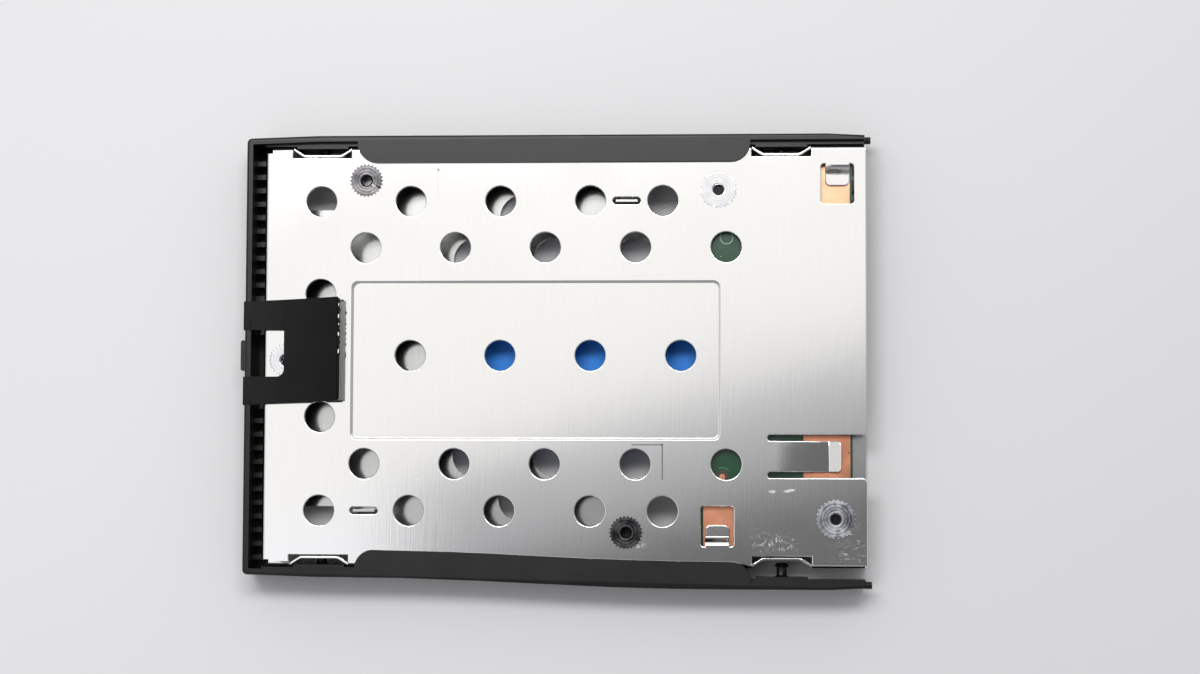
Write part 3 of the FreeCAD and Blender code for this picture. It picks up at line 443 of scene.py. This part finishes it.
sheetLooks = [
    {"name": "trayMetal", "low": (0.922, 0.917, 0.907), "high": (0.940, 0.935, 0.925),
     "smooth": 0.07, "rough": 0.095, "lift": 0.22},
    # the marks' greys are painted shade of the pressed lines: dark on the front mark, faint on the back and
    # side marks
    {"name": "markShadeDark", "low": (0.44, 0.44, 0.44), "high": (0.52, 0.52, 0.52),
     "smooth": 0.08, "rough": 0.10, "lift": 0.006},
    {"name": "markShadeFaint", "low": (0.85, 0.845, 0.84), "high": (0.88, 0.875, 0.87),
     "smooth": 0.08, "rough": 0.10, "lift": 0.005},
    {"name": "coverMetal", "low": (0.61, 0.61, 0.60), "high": (0.66, 0.66, 0.65),
     "smooth": 0.13, "rough": 0.165, "lift": 0.02},
]
mouldedLooks = [
    {"name": "bumperRubber", "low": (0.005, 0.0051, 0.0054), "high": (0.008, 0.0082, 0.0086),
     "smooth": 0.33, "rough": 0.37, "grain": 0.2, "gloss": 0.32},
    {"name": "tabFilm", "low": (0.0035, 0.0036, 0.004), "high": (0.005, 0.0052, 0.0057),
     "smooth": 0.34, "rough": 0.42, "grain": 0.03, "gloss": 0.14},
    {"name": "boardMask", "low": (0.008, 0.058, 0.024), "high": (0.011, 0.074, 0.032),
     "smooth": 0.14, "rough": 0.18, "grain": 0.03, "gloss": 0.7},
    {"name": "connectorPlastic", "low": (0.013, 0.013, 0.014), "high": (0.020, 0.020, 0.021),
     "smooth": 0.42, "rough": 0.52, "grain": 0.2},
    {"name": "contactGold", "low": (0.72, 0.50, 0.19), "high": (0.80, 0.58, 0.24),
     "smooth": 0.22, "rough": 0.32, "grain": 0.05, "metallic": 1.0},
    {"name": "padGel", "low": (0.42, 0.43, 0.45), "high": (0.52, 0.53, 0.55),
     "smooth": 0.55, "rough": 0.7, "grain": 0.3},
    {"name": "linerFilm", "low": (0.034, 0.27, 0.90), "high": (0.040, 0.31, 0.97),
     "smooth": 0.40, "rough": 0.48, "grain": 0.05, "gloss": 0.2},
    {"name": "bareCopper", "low": (0.66, 0.285, 0.175), "high": (0.74, 0.33, 0.205),
     "smooth": 0.22, "rough": 0.30, "grain": 0.04, "metallic": 1.0},
    {"name": "chipEpoxy", "low": (0.018, 0.018, 0.018), "high": (0.028, 0.028, 0.028),
     "smooth": 0.5, "rough": 0.6, "grain": 0.25},
    {"name": "coilFerrite", "low": (0.09, 0.09, 0.095), "high": (0.13, 0.13, 0.135),
     "smooth": 0.5, "rough": 0.65, "grain": 0.4},
    {"name": "capacitorCeramic", "low": (0.38, 0.28, 0.19), "high": (0.48, 0.36, 0.25),
     "smooth": 0.4, "rough": 0.5, "grain": 0.15},
    # the screws are one steel: their near-black and grey are painted shade, which makes the standoffs' bores
    # look dark, darker for the front cover screw and the board screws than for the back cover screw
    {"name": "screwSteelDarkShade", "low": (0.012, 0.012, 0.013), "high": (0.02, 0.02, 0.021),
     "smooth": 0.3, "rough": 0.4, "grain": 0.1, "metallic": 1.0},
    {"name": "screwSteelGreyShade", "low": (0.10, 0.098, 0.10), "high": (0.20, 0.195, 0.20),
     "smooth": 0.3, "rough": 0.4, "grain": 0.1, "metallic": 1.0},
    {"name": "silkInk", "low": (0.26, 0.34, 0.28), "high": (0.36, 0.44, 0.38),
     "smooth": 0.45, "rough": 0.55, "grain": 0.1},
    {"name": "maskedInk", "low": (0.04, 0.13, 0.07), "high": (0.055, 0.16, 0.09),
     "smooth": 0.3, "rough": 0.4, "grain": 0.1},
    {"name": "maskRing", "low": (0.030, 0.020, 0.012), "high": (0.045, 0.030, 0.018),
     "smooth": 0.35, "rough": 0.45, "grain": 0.1},
    {"name": "viaHoleShade", "low": (0.004, 0.004, 0.004), "high": (0.007, 0.007, 0.007),
     "smooth": 0.4, "rough": 0.5, "grain": 0.1},
    {"name": "filmGrey", "low": (0.42, 0.42, 0.42), "high": (0.50, 0.50, 0.50),
     "smooth": 0.5, "rough": 0.6, "grain": 0.05, "gloss": 0.2},
    # the glue drops are real; their white is painted highlight of glossy glue
    {"name": "glueHighlightWhite", "low": (0.70, 0.70, 0.70), "high": (0.82, 0.82, 0.82),
     "smooth": 0.10, "rough": 0.16, "grain": 0.03},
    {"name": "glueBlack", "low": (0.003, 0.003, 0.003), "high": (0.005, 0.005, 0.005),
     "smooth": 0.25, "rough": 0.35, "grain": 0.1, "gloss": 0.2},
]
# the five standoffs are one steel: each head's tone, from near black to near white, is painted light and
# shade, set to how bright that head looks where it stands; rim adds painted highlight bands
headLooks = [
    {"name": "headGrey", "node": "cover_standoff_back", "low": (0.07, 0.068, 0.073),
     "high": (0.16, 0.155, 0.163), "smooth": 0.16, "rough": 0.22, "fan": 0.5},
    {"name": "headBlack", "node": "cover_standoff_front", "low": (0.012, 0.012, 0.014),
     "high": (0.10, 0.10, 0.105), "smooth": 0.20, "rough": 0.28, "fan": 0.6, "rim": 0.25},
    {"name": "headWhite", "node": "board_standoff_back", "low": (0.80, 0.80, 0.83),
     "high": (0.90, 0.90, 0.92), "smooth": 0.08, "rough": 0.10, "fan": 0.0},
    {"name": "headWornAndShaded", "node": "board_standoff_front", "low": (0.075, 0.078, 0.092),
     "high": (0.38, 0.39, 0.42), "smooth": 0.30, "rough": 0.40, "fan": 0.5, "rim": 0.22},
    {"name": "headPale", "node": "drive_standoff", "low": (0.77, 0.77, 0.82),
     "high": (0.88, 0.88, 0.91), "smooth": 0.08, "rough": 0.10, "fan": 0.0},
]
looks = {}
for makeLook, plans in ((metalSheet, sheetLooks), (mouldedPart, mouldedLooks), (turnedHead, headLooks)):
    for plan in plans:
        looks[plan["name"]] = makeLook(**plan)

# scratched spots on the tray's plate, in mm
trayWear = [
    {"centre": (36.5, -30.1, 0), "reach": (5.4, 2.5, 1), "grain": (1700, 2100, 1000), "line": 0.035},
    {"centre": (36.0, -21.55, 0), "reach": (0.75, 0.34, 1), "grain": (900, 1500, 300), "line": 0.3,
     "whole": 0.8},
    {"centre": (38.6, -21.5, 0), "reach": (0.90, 0.28, 1), "grain": (900, 1500, 300), "line": 0.3,
     "whole": 0.8},
    {"centre": (39.2, -21.3, 0), "reach": (0.80, 0.24, 1), "grain": (900, 1500, 300), "line": 0.3,
     "whole": 0.8},
    {"centre": (48.6, -30.5, 0), "reach": (3.6, 5.0, 1), "grain": (600, 2300, 1000), "line": 0.022},
    {"centre": (13.9, -30.6, 0), "reach": (1.8, 0.9, 1), "grain": (1500, 2300, 1000), "line": 0.05},
    {"centre": (-29.1, -20.0, 0), "reach": (1.0, 0.4, 1), "grain": (900, 2500, 1000), "line": 0.06},
    {"centre": (-22.8, -19.8, 0), "reach": (1.0, 0.4, 1), "grain": (900, 2500, 1000), "line": 0.06},
    {"centre": (30.0, -24.0, 0), "reach": (22.0, 12.0, 1), "grain": (2600, 210, 1000), "line": 0.0012},
]
addWear(looks["trayMetal"], trayWear, rough=0.26, bare=0.6)
print(len(looks), "materials ready")


# pieces that carry the look of a CAD node; ease is the width of their broken edges in mm

easedPieces = [
    {"node": "vented_tray", "name": "trayShell", "slot": "tray_metal", "look": "trayMetal",
     "ease": 0.06, "steps": 2},
    {"node": "bottom_cover", "name": "coverShell", "slot": "cover_metal", "look": "coverMetal",
     "ease": 0.05, "steps": 2},
    {"node": "bumper_frame", "name": "bumperShell", "slot": "bumper_rubber", "look": "bumperRubber",
     "ease": 0.2, "steps": 3},
    {"node": "pull_tab", "name": "tabShell", "slot": "tab_film", "look": "tabFilm",
     "ease": 0.03, "steps": 1},
    {"node": "adapter_board", "name": "boardShell", "slot": "board_mask", "look": "boardMask",
     "ease": 0.04, "steps": 1},
    {"node": "cover_standoff_back", "name": "standoffCoverBack", "slot": "standoff_steel",
     "look": "headGrey", "ease": 0.07, "steps": 2},
    {"node": "cover_standoff_front", "name": "standoffCoverFront", "slot": "standoff_steel",
     "look": "headBlack", "ease": 0.07, "steps": 2},
    {"node": "board_standoff_back", "name": "standoffBoardBack", "slot": "standoff_steel",
     "look": "headWhite", "ease": 0.07, "steps": 2},
    {"node": "board_standoff_front", "name": "standoffBoardFront", "slot": "standoff_steel",
     "look": "headWornAndShaded", "ease": 0.07, "steps": 2},
    {"node": "drive_standoff", "name": "standoffDrive", "slot": "standoff_steel",
     "look": "headPale", "ease": 0.07, "steps": 2},
]
for plan in easedPieces:
    look = looks[plan["look"]]
    shell = easedCopy(plan["node"], plan["name"], plan["ease"], plan["steps"], look)
    dress(nodes[plan["node"]], look)
    print(plan["name"], len(shell.data.polygons), "faces")

plainLooks = {
    "drive_socket": "connectorPlastic", "host_plug": "connectorPlastic",
    "socket_contacts_rear": "contactGold", "socket_contacts_front": "contactGold",
    "signal_contacts": "contactGold", "power_contacts": "contactGold",
    "thermal_pad": "padGel", "pad_liner": "linerFilm",
    "ground_land_back": "bareCopper", "ground_land_front": "bareCopper", "ground_land_side": "bareCopper",
    "regulator_chip": "chipEpoxy", "power_inductor": "coilFerrite",
    "board_capacitor_1": "capacitorCeramic", "board_capacitor_2": "capacitorCeramic",
    "board_capacitor_3": "capacitorCeramic", "board_capacitor_4": "capacitorCeramic",
    "cover_screw_back": "screwSteelGreyShade", "cover_screw_front": "screwSteelDarkShade",
    "board_screw_back": "screwSteelDarkShade", "board_screw_front": "screwSteelDarkShade",
}
for nodeName, lookName in plainLooks.items():
    dress(nodes[nodeName], looks[lookName])
print("CAD nodes dressed")


def keepPiece(piece, name, material, soft=40):
    # a finished new piece: its object at the origin, riding on the caddy
    piece.name = name
    selectOnly(piece)
    bpy.ops.object.transform_apply(location=True, rotation=True, scale=True)
    smoothShade(piece, soft)
    dress(piece, material)
    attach(piece, "root")


# print and test spots that show on the board through the vents, in mm

def spunBand(plan):
    # a flat printed line: its small section swept round the centre
    x, y = plan["centre"]
    turn = math.radians(plan["start"])
    section = (x + plan["radius"] * math.cos(turn), y + plan["radius"] * math.sin(turn),
               plan["level"] + plan["lift"] / 2)
    bpy.ops.object.select_all(action="DESELECT")
    bpy.ops.mesh.primitive_plane_add(size=1.0, rotation=(math.radians(90), 0, turn),
                                     location=[value * mm for value in section])
    piece = bpy.context.active_object
    piece.scale = (plan["line"] * mm, plan["lift"] * mm, 1.0)
    bpy.ops.object.transform_apply(location=True, rotation=True, scale=True)
    bpy.ops.object.mode_set(mode="EDIT")
    bpy.ops.mesh.select_all(action="SELECT")
    bpy.ops.mesh.spin(steps=plan["steps"], angle=math.radians(plan["sweep"]),
                      center=(x * mm, y * mm, plan["level"] * mm), axis=(0, 0, -1))
    bpy.ops.mesh.select_all(action="SELECT")
    bpy.ops.mesh.remove_doubles(threshold=0.001 * mm)
    bpy.ops.mesh.normals_make_consistent(inside=False)
    bpy.ops.object.mode_set(mode="OBJECT")
    return piece


discPlan = {"sides": 32, "ease": 0.2, "easeSteps": 2}


def flatDisc(plan):
    # a low disc with its upper edge eased
    x, y = plan["centre"]
    level = plan["level"] + plan["lift"] / 2
    bpy.ops.object.select_all(action="DESELECT")
    bpy.ops.mesh.primitive_cylinder_add(vertices=discPlan["sides"], radius=plan["radius"] * mm,
                                        depth=plan["lift"] * mm, location=(x * mm, y * mm, level * mm))
    piece = bpy.context.active_object
    applyModifier(piece, "BEVEL", {"width": plan["lift"] * discPlan["ease"] * mm,
                                   "segments": discPlan["easeSteps"], "limit_method": "ANGLE"})
    return piece


boardTop = 5.95
landTop = 6.03
inkLift = 0.02
spotCentre = (27.81, -19.09)
boardPrint = [
    {"name": "boardInkRing", "slot": "board_mask", "look": "silkInk", "make": spunBand, "soft": 40,
     "centre": (28.52, 20.59), "level": boardTop, "lift": inkLift, "radius": 1.05, "line": 0.17,
     "start": 140, "sweep": 260, "steps": 40},
    {"name": "boardInkDot", "slot": "board_mask", "look": "silkInk", "make": flatDisc, "soft": 10,
     "centre": (27.56, 17.44), "level": boardTop, "lift": inkLift, "radius": 0.11},
    {"name": "testSpotDisc", "slot": "bare_copper", "look": "bareCopper", "make": flatDisc, "soft": 10,
     "centre": spotCentre, "level": boardTop, "lift": 0.04, "radius": 0.48},
    {"name": "testSpotRing", "slot": "board_mask", "look": "maskRing", "make": spunBand, "soft": 40,
     "centre": spotCentre, "level": boardTop, "lift": inkLift, "radius": 0.80, "line": 0.58,
     "start": 0, "sweep": 360, "steps": 40},
    {"name": "testSpotArc", "slot": "board_mask", "look": "maskedInk", "make": spunBand, "soft": 40,
     "centre": spotCentre, "level": boardTop, "lift": inkLift, "radius": 1.48, "line": 0.2,
     "start": 45, "sweep": 68, "steps": 16},
    # the via is a hole in the land: its black disc is painted shade of the hole
    {"name": "landVia", "slot": "connector_plastic", "look": "viaHoleShade", "make": flatDisc, "soft": 10,
     "centre": (48.63, -15.09), "level": landTop, "lift": inkLift, "radius": 0.13},
]
for plan in boardPrint:
    keepPiece(plan["make"](plan), plan["name"], looks[plan["look"]], plan["soft"])
print("board print ready")


def raisedStrip(long, wide, thick):
    # a thin strip on the origin, raised from a plane
    bpy.ops.object.select_all(action="DESELECT")
    bpy.ops.mesh.primitive_plane_add(size=1.0)
    piece = bpy.context.active_object
    bpy.ops.object.mode_set(mode="EDIT")
    bpy.ops.mesh.select_all(action="SELECT")
    bpy.ops.transform.resize(value=(long * mm, wide * mm, 1.0))
    bpy.ops.mesh.extrude_region_move(TRANSFORM_OT_translate={"value": (0, 0, thick * mm)})
    bpy.ops.mesh.select_all(action="SELECT")
    bpy.ops.mesh.normals_make_consistent(inside=False)
    bpy.ops.object.mode_set(mode="OBJECT")
    return piece


# faint lines pressed into the tray's plate, in mm; their grey is painted shade, darker on the front mark than
# on the back and side marks

pressPlan = {"level": 7.74, "lift": 0.016}


def pressedRidge(start, end, line):
    # a low straight ridge from corner to corner
    along = (end[0] - start[0], end[1] - start[1])
    piece = raisedStrip(math.hypot(*along) + line, line, pressPlan["lift"])
    piece.rotation_euler = (0, 0, math.atan2(along[1], along[0]))
    middle = ((start[0] + end[0]) / 2, (start[1] + end[1]) / 2, pressPlan["level"])
    piece.location = [value * mm for value in middle]
    return piece


pressMarks = [
    {"name": "pressMarkFront", "look": "markShadeDark", "line": 0.24,
     "corners": ((12.98, -13.9), (17.97, -13.9), (17.97, -19.5))},
    {"name": "pressMarkBack", "look": "markShadeFaint", "line": 0.24,
     "corners": ((-14.67, 31.88), (-19.46, 31.88), (-19.46, 27.07))},
    {"name": "pressMarkSide", "look": "markShadeFaint", "line": 0.55,
     "corners": ((-19.37, -26.9), (-19.44, -31.2))},
]
for plan in pressMarks:
    sides = zip(plan["corners"], plan["corners"][1:])
    ridges = [pressedRidge(start, end, plan["line"]) for start, end in sides]
    keepPiece(joinPieces(ridges), plan["name"], looks[plan["look"]])
print("press marks ready")


# the tab's end: a lip of its under layer, frayed along the back half, with drops of glue on it, in mm; the
# drops' white is painted highlight

def beadRow(beads):
    # one bead is modelled, the rest are copies that are stretched and joined
    bpy.ops.object.select_all(action="DESELECT")
    bpy.ops.mesh.primitive_uv_sphere_add(segments=16, ring_count=10, radius=1.0 * mm)
    first = bpy.context.active_object
    row = [first]
    while len(row) < len(beads):
        selectOnly(first)
        bpy.ops.object.duplicate(linked=False)
        row.append(bpy.context.active_object)
    for drop, bead in zip(row, beads):
        drop.location = [value * mm for value in bead["place"]]
        drop.scale = bead["half"]
        drop.rotation_euler = (0, 0, math.radians(bead["turn"]))
    return joinPieces(row)


def filmStrip(plan):
    # a thin strip of film along the tab's end, tilted up towards its free edge
    piece = raisedStrip(plan["size"][0], plan["size"][1], plan["thick"])
    applyModifier(piece, "BEVEL", {"width": plan["thick"] * plan["ease"] * mm, "segments": 2,
                                   "limit_method": "ANGLE"})
    x, y, z = plan["centre"]
    piece.rotation_euler = (0, -math.atan(plan["rise"]), 0)
    piece.location = (x * mm, y * mm, (z - plan["thick"] / 2) * mm)
    return piece


glueDrops = [
    {"place": (-35.46, 9.1, 10.93), "half": (0.10, 0.26, 0.06), "turn": 4},
    {"place": (-35.48, 7.2, 10.93), "half": (0.14, 0.38, 0.07), "turn": -6},
    {"place": (-35.45, 5.85, 10.93), "half": (0.09, 0.20, 0.06), "turn": 8},
    {"place": (-35.47, 4.2, 10.93), "half": (0.15, 0.34, 0.07), "turn": 5},
    {"place": (-35.45, 1.4, 10.93), "half": (0.15, 0.40, 0.07), "turn": -8},
]
frayPlan = {"count": 14, "edge": -35.29, "start": 0.9, "pitch": 0.68, "level": 10.92,
            "half": (0.09, 0.28, 0.05), "sway": 0.03, "drift": 0.12, "turn": 14, "swell": 0.04,
            "stretch": 0.1, "waves": (2.4, 5.1, 1.7)}
frayedBits = []
for index in range(frayPlan["count"]):
    # uneven by fixed waves, so that no two bits match
    swayWave, driftWave, swellWave = [index * wave for wave in frayPlan["waves"]]
    sway = math.sin(swayWave)
    across = frayPlan["start"] + index * frayPlan["pitch"] + frayPlan["drift"] * math.sin(driftWave)
    halfWide, halfLong, halfThick = frayPlan["half"]
    halfWide += frayPlan["swell"] * math.cos(swellWave)
    halfLong += frayPlan["stretch"] * sway
    frayedBits.append({"place": (frayPlan["edge"] + frayPlan["sway"] * sway, across, frayPlan["level"]),
                       "half": (halfWide, halfLong, halfThick), "turn": frayPlan["turn"] * sway})
tailRise = 0.309
lipPlan = {"centre": (-35.61, 1.8, 10.84), "size": (0.70, 16.8), "thick": 0.1, "ease": 0.3,
           "rise": tailRise}
underPlan = {"centre": (-36.85, 1.8, 10.27), "size": (3.2, 16.6), "thick": 0.05, "ease": 0.3,
             "rise": tailRise}
keepPiece(beadRow(glueDrops), "tabGlueDrops", looks["glueHighlightWhite"])
keepPiece(beadRow(frayedBits), "tabFrayedEdge", looks["glueBlack"])
keepPiece(filmStrip(lipPlan), "tabUnderLip", looks["tabFilm"])
keepPiece(filmStrip(underPlan), "tabUnderLayer", looks["filmGrey"])
print("tab end ready")


# floor, a little darker towards the near right: painted shade of the lamp's falloff

floorPlan = {"size": 4.0, "drop": 0.05, "far": (0.78, 0.775, 0.79), "near": (0.69, 0.69, 0.705),
             "slope": (0.75, -0.66, 0.0), "low": -0.05, "high": 0.09, "rough": 0.85, "gloss": 0.2}
bpy.ops.object.select_all(action="DESELECT")
bpy.ops.mesh.primitive_plane_add(size=floorPlan["size"], location=(0, 0, -floorPlan["drop"] * mm))
floor = bpy.context.active_object
floor.name = "floor"
floorLook, floorTree, floorShader, floorPlace = newMaterial("floorLook")
floorShadeAcross = useVectors(floorTree, "DOT_PRODUCT", floorPlace, floorPlan["slope"])
tint(floorTree, floorShadeAcross, floorPlan["far"], floorPlan["near"], floorShader.inputs["Base Color"],
     floorPlan["low"], floorPlan["high"])
floorShader.inputs["Roughness"].default_value = floorPlan["rough"]
floorShader.inputs["Specular IOR Level"].default_value = floorPlan["gloss"]
dress(floor, floorLook)

# a bright room, dark on the near right side, which the tray mirrors

skyPlan = {"farSide": 0.72, "nearSide": 0.32, "tilt": (-0.28, 0.96, 0.0), "open": (-0.02, 0.12),
           "left": (-0.19, -0.08), "side": (-0.6, 0.6), "rise": (0.6, 0.9),
           "cool": (0.985, 0.995, 1.03), "warm": (1.0, 0.99, 0.975), "warming": (0.42, 0.55),
           "steps": ((0.0, 0.14), (0.14, 0.11), (0.25, 0.45), (0.40, 0.46), (0.45, 0.48), (0.505, 0.95),
                     (0.60, 0.92), (0.70, 0.97), (1.0, 0.98))}
world = bpy.data.worlds.new("room")
scene.world = world
world.use_nodes = True
sky = world.node_tree
skyShade = sky.nodes["Background"]
skyPlace = addNode(sky, "ShaderNodeTexCoord").outputs["Generated"]
skyAxes = addNode(sky, "ShaderNodeSeparateXYZ")
feed(sky, skyPlace, skyAxes.inputs[0])
across = useVectors(sky, "DOT_PRODUCT", skyPlace, skyPlan["tilt"])
openShare = remap(sky, across, *skyPlan["open"])
leftShare = remap(sky, skyAxes.outputs["X"], *skyPlan["left"], 1.0, 0.0, "SMOOTHSTEP")
openTone = addNode(sky, "ShaderNodeValToRGB")
tones = openTone.color_ramp.elements
while len(tones) < len(skyPlan["steps"]):
    tones.new(0.5)
for tone, (position, level) in zip(tones, skyPlan["steps"]):
    tone.position = position
    tone.color = (level, level, level, 1)
feed(sky, useMath(sky, "MAXIMUM", openShare, leftShare), openTone.inputs["Fac"])
skySide = remap(sky, across, *skyPlan["side"], skyPlan["nearSide"], skyPlan["farSide"], "SMOOTHSTEP")
skyTop = openTone.outputs["Color"]
skyTone = remap(sky, skyAxes.outputs["Z"], *skyPlan["rise"], skySide, skyTop, "SMOOTHSTEP")
feed(sky, skyTone, skyShade.inputs["Strength"])
tint(sky, openShare, skyPlan["cool"], skyPlan["warm"], skyShade.inputs["Color"], *skyPlan["warming"])

lampPlan = {"place": (-0.02, 0.205, 0.55), "length": 0.40, "depth": 0.12, "power": 1.8}
bpy.ops.object.light_add(type="AREA", location=lampPlan["place"])
lamp = bpy.context.active_object
lamp.name = "softLamp"
lamp.data.shape = "RECTANGLE"
lamp.data.size = lampPlan["length"]
lamp.data.size_y = lampPlan["depth"]
lamp.data.energy = lampPlan["power"]
lamp.rotation_euler = (-Vector(lampPlan["place"])).to_track_quat("-Z", "Y").to_euler()

cameraPlan = {"place": (0.0328, -0.025125, 0.43625), "ahead": (-0.0585, 0.0675, -0.9960),
              "up": (0.0006, 0.9977, 0.0675), "lens": 78.0, "sensor": 36.0, "nearest": 0.01}
bpy.ops.object.camera_add(location=cameraPlan["place"])
camera = bpy.context.active_object
camera.name = "photoCamera"
ahead = Vector(cameraPlan["ahead"]).normalized()
right = ahead.cross(Vector(cameraPlan["up"])).normalized()
upward = right.cross(ahead)
turned = Matrix((right, upward, -ahead)).transposed().to_4x4()
camera.matrix_world = Matrix.Translation(cameraPlan["place"]) @ turned
camera.data.lens = cameraPlan["lens"]
camera.data.sensor_fit = "HORIZONTAL"
camera.data.sensor_width = cameraPlan["sensor"]
camera.data.clip_start = cameraPlan["nearest"]
camera.data.dof.use_dof = False
scene.camera = camera
scene.view_settings.view_transform = "Standard"
print("floor, light and camera ready")
